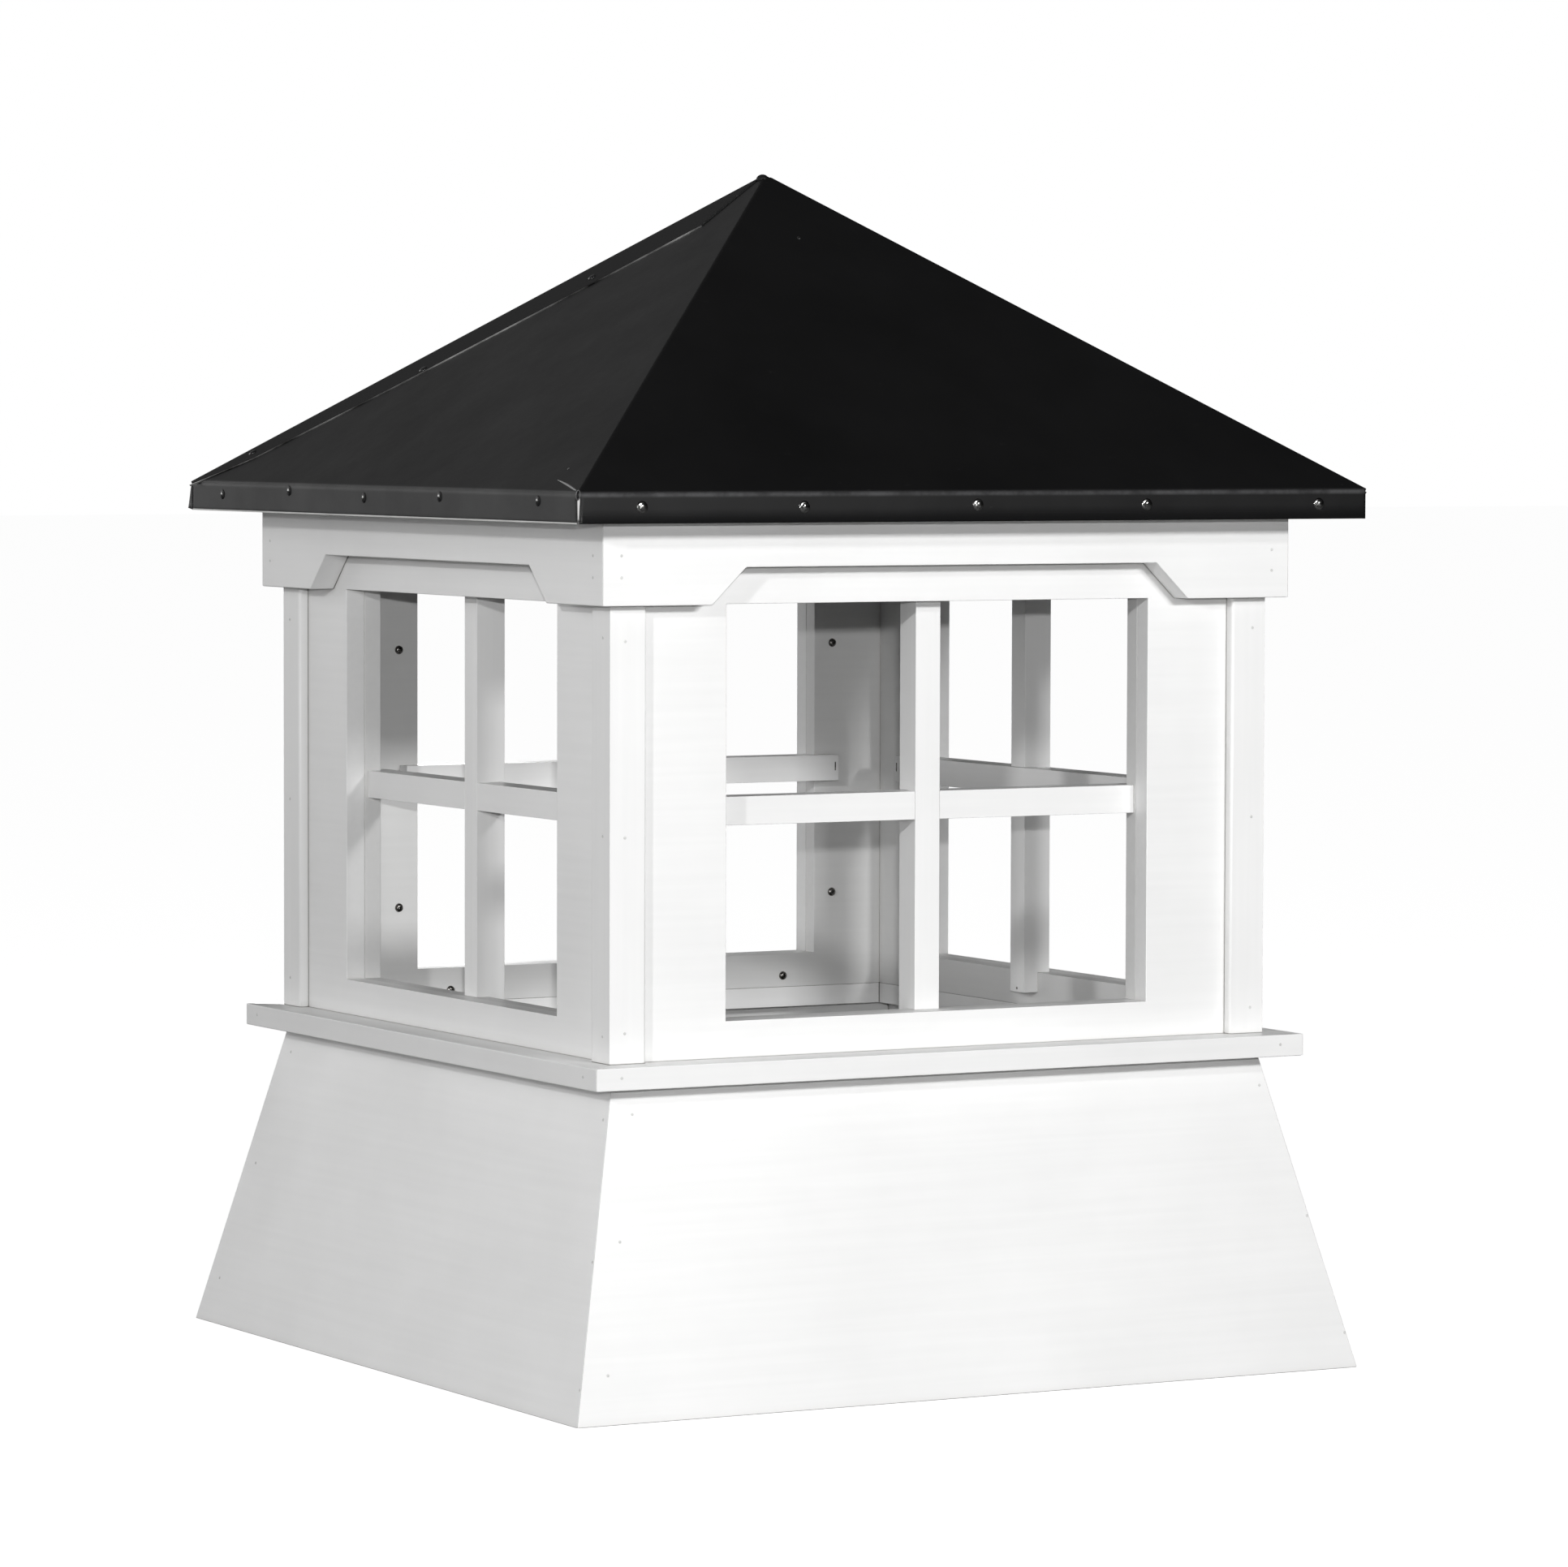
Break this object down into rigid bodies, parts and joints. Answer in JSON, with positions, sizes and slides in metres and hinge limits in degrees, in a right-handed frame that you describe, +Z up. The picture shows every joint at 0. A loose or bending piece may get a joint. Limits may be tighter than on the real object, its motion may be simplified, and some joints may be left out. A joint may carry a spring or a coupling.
{
  "type": "roof cupola",
  "caption": "Square roof cupola with a flared base, open window walls with crossed bars, notched cornice boards and a folded metal pyramid roof.",
  "frame": {"origin": "middle of the foot, on the surface it stands on", "axes": "+Z up, -Y out of the front wall, +X to the right of someone facing the front wall"},
  "size_m": [0.7674, 0.764, 1.0359],
  "materials": {
    "white_board": "satin",
    "white_bar": "satin",
    "black_sheet": "satin"
  },
  "bodies": {
    "root": {"front_base_board": "white_board", "front_band_board": "white_board", "front_wall_outer": "white_board", "front_wall_inner": "white_board", "front_cornice_board": "white_board", "front_eaves_board": "white_board", "front_window_upright": "white_bar", "front_window_crossbar": "white_bar", "right_base_board": "white_board", "right_band_board": "white_board", "right_wall_outer": "white_board", "right_wall_inner": "white_board", "right_cornice_board": "white_board", "right_eaves_board": "white_board", "right_window_upright": "white_bar", "right_window_crossbar": "white_bar", "back_base_board": "white_board", "back_band_board": "white_board", "back_wall_outer": "white_board", "back_wall_inner": "white_board", "back_cornice_board": "white_board", "back_eaves_board": "white_board", "back_window_upright": "white_bar", "back_window_crossbar": "white_bar", "left_base_board": "white_board", "left_band_board": "white_board", "left_wall_outer": "white_board", "left_wall_inner": "white_board", "left_cornice_board": "white_board", "left_eaves_board": "white_board", "left_window_upright": "white_bar", "left_window_crossbar": "white_bar", "front_left_corner_board": "white_board", "front_right_corner_board": "white_board", "back_right_corner_board": "white_board", "back_left_corner_board": "white_board", "roof_sheet_front_left": "black_sheet", "roof_sheet_back_right": "black_sheet"}
  },
  "joints": []
}
